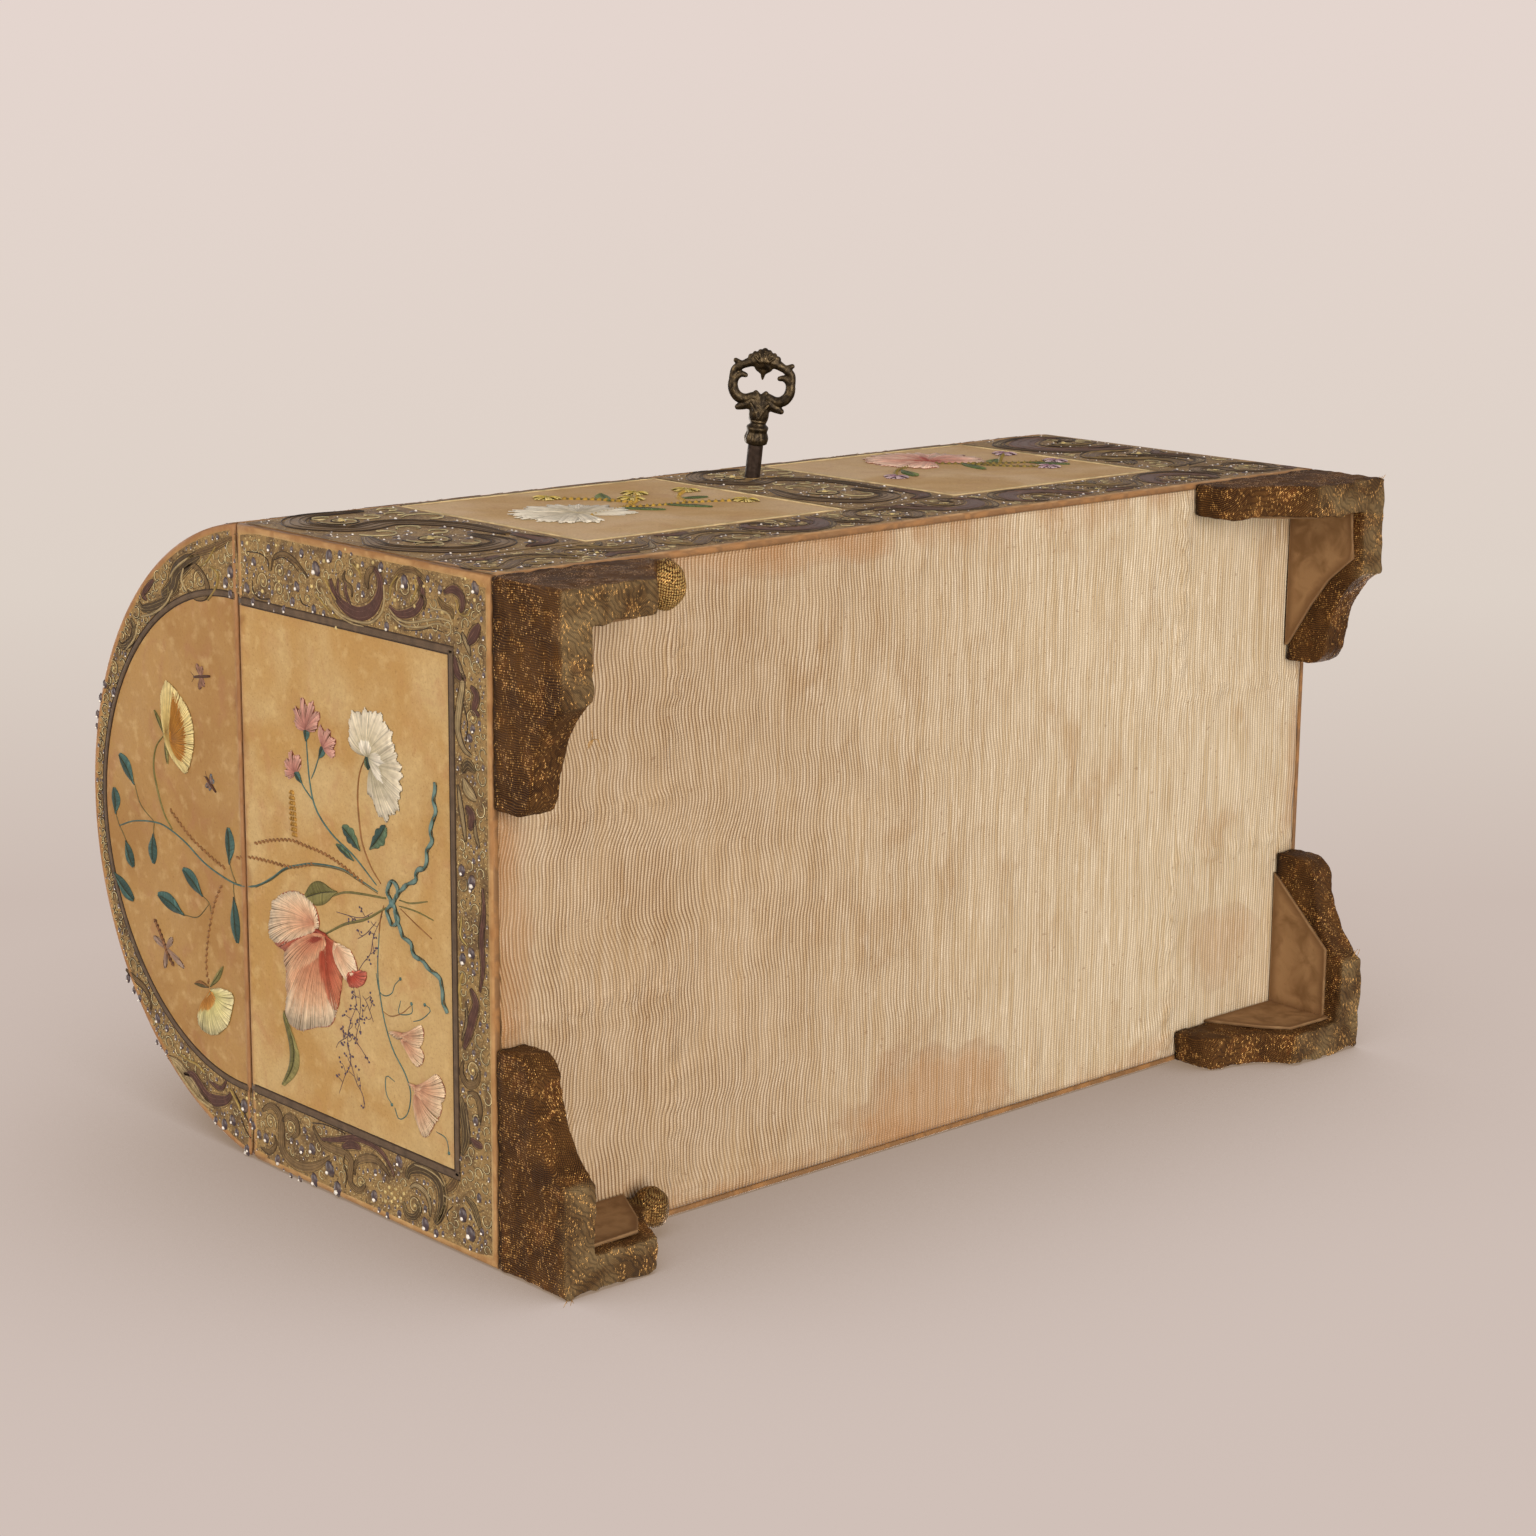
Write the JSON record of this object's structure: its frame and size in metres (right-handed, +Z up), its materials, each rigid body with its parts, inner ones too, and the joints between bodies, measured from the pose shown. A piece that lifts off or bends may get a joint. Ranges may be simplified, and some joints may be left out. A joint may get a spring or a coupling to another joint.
{
  "type": "domed casket box",
  "caption": "Parchment-covered casket with a domed lid on two butt hinges, a box lock worked by its key, a silk-lined underside and four cloth-covered bracket feet.",
  "frame": {"origin": "under the middle of the outer size, on the surface that the four feet stand on", "axes": "+Z up; +X along the box's length, to the right when seen from the front; the front with the key faces -Y"},
  "size_m": [0.32, 0.2196, 0.219],
  "materials": {
    "parchment": "painted and embroidered parchment on card, satin, mottled",
    "board": "thin softwood, bare",
    "silk": "ribbed silk with brown stains",
    "lining": "faded silk lining",
    "lame": "worn gold lame over wood",
    "card": "plain tan card",
    "bronze": "dark cast bronze with bright worn edges",
    "steel": "dark steel",
    "brass": "tarnished brass"
  },
  "bodies": {
    "box": {"bottom_silk": "silk", "bottom_board": "board", "front_board": "board", "back_board": "board", "left_end_board": "board", "right_end_board": "board", "front_parchment": "parchment", "back_parchment": "parchment", "left_end_parchment": "parchment", "right_end_parchment": "parchment", "lining_floor": "lining", "lining_front": "lining", "lining_back": "lining", "lining_left": "lining", "lining_right": "lining", "front_left_side_bracket": "lame", "front_left_end_bracket": "lame", "front_left_facing": "card", "front_right_side_bracket": "lame", "front_right_end_bracket": "lame", "front_right_facing": "card", "back_left_side_bracket": "lame", "back_left_end_bracket": "lame", "back_left_facing": "card", "back_right_side_bracket": "lame", "back_right_end_bracket": "lame", "back_right_facing": "card", "lock_case": "steel", "lock_cap": "steel", "lock_screw_1": "steel", "lock_screw_2": "steel", "lock_screw_3": "steel", "lock_screw_4": "steel", "left_hinge_body_leaf": "brass", "left_hinge_pin": "brass", "right_hinge_body_leaf": "brass", "right_hinge_pin": "brass"},
    "lid": {"dome_parchment": "parchment", "dome_shell": "board", "lid_left_parchment": "parchment", "lid_right_parchment": "parchment", "lid_left_arch": "board", "lid_right_arch": "board", "lid_front_rail": "board", "lid_back_rail": "board", "lid_lining": "lining", "lid_lining_left": "lining", "lid_lining_right": "lining", "strike_plate": "steel", "strike_screw_1": "steel", "strike_screw_2": "steel", "left_hinge_lid_leaf": "brass", "right_hinge_lid_leaf": "brass"},
    "key": {"key_shank": "steel", "key_collar": "bronze", "key_bow": "bronze"},
    "bolt": {"lock_bolt": "steel"}
  },
  "joints": [
    {"name": "lid_hinge", "type": "hinge", "parent": "box", "child": "lid", "pos_m": [0, 0.10762, 0.14], "axis": [-1, 0, 0], "range_deg": [0, 100]},
    {"name": "key_turn", "type": "hinge", "parent": "box", "child": "key", "pos_m": [0.01, -0.07118, 0.121], "axis": [0, 0.9903, 0.1392], "range_deg": [0, 90]},
    {"name": "bolt_slide", "type": "slide", "parent": "box", "child": "bolt", "axis": [1, 0, 0], "range_m": [0, 0.0078]}
  ],
  "couplings": [
    {"joint": "bolt_slide", "follows": "key_turn", "m_per_rad": 0.0049656}
  ]
}
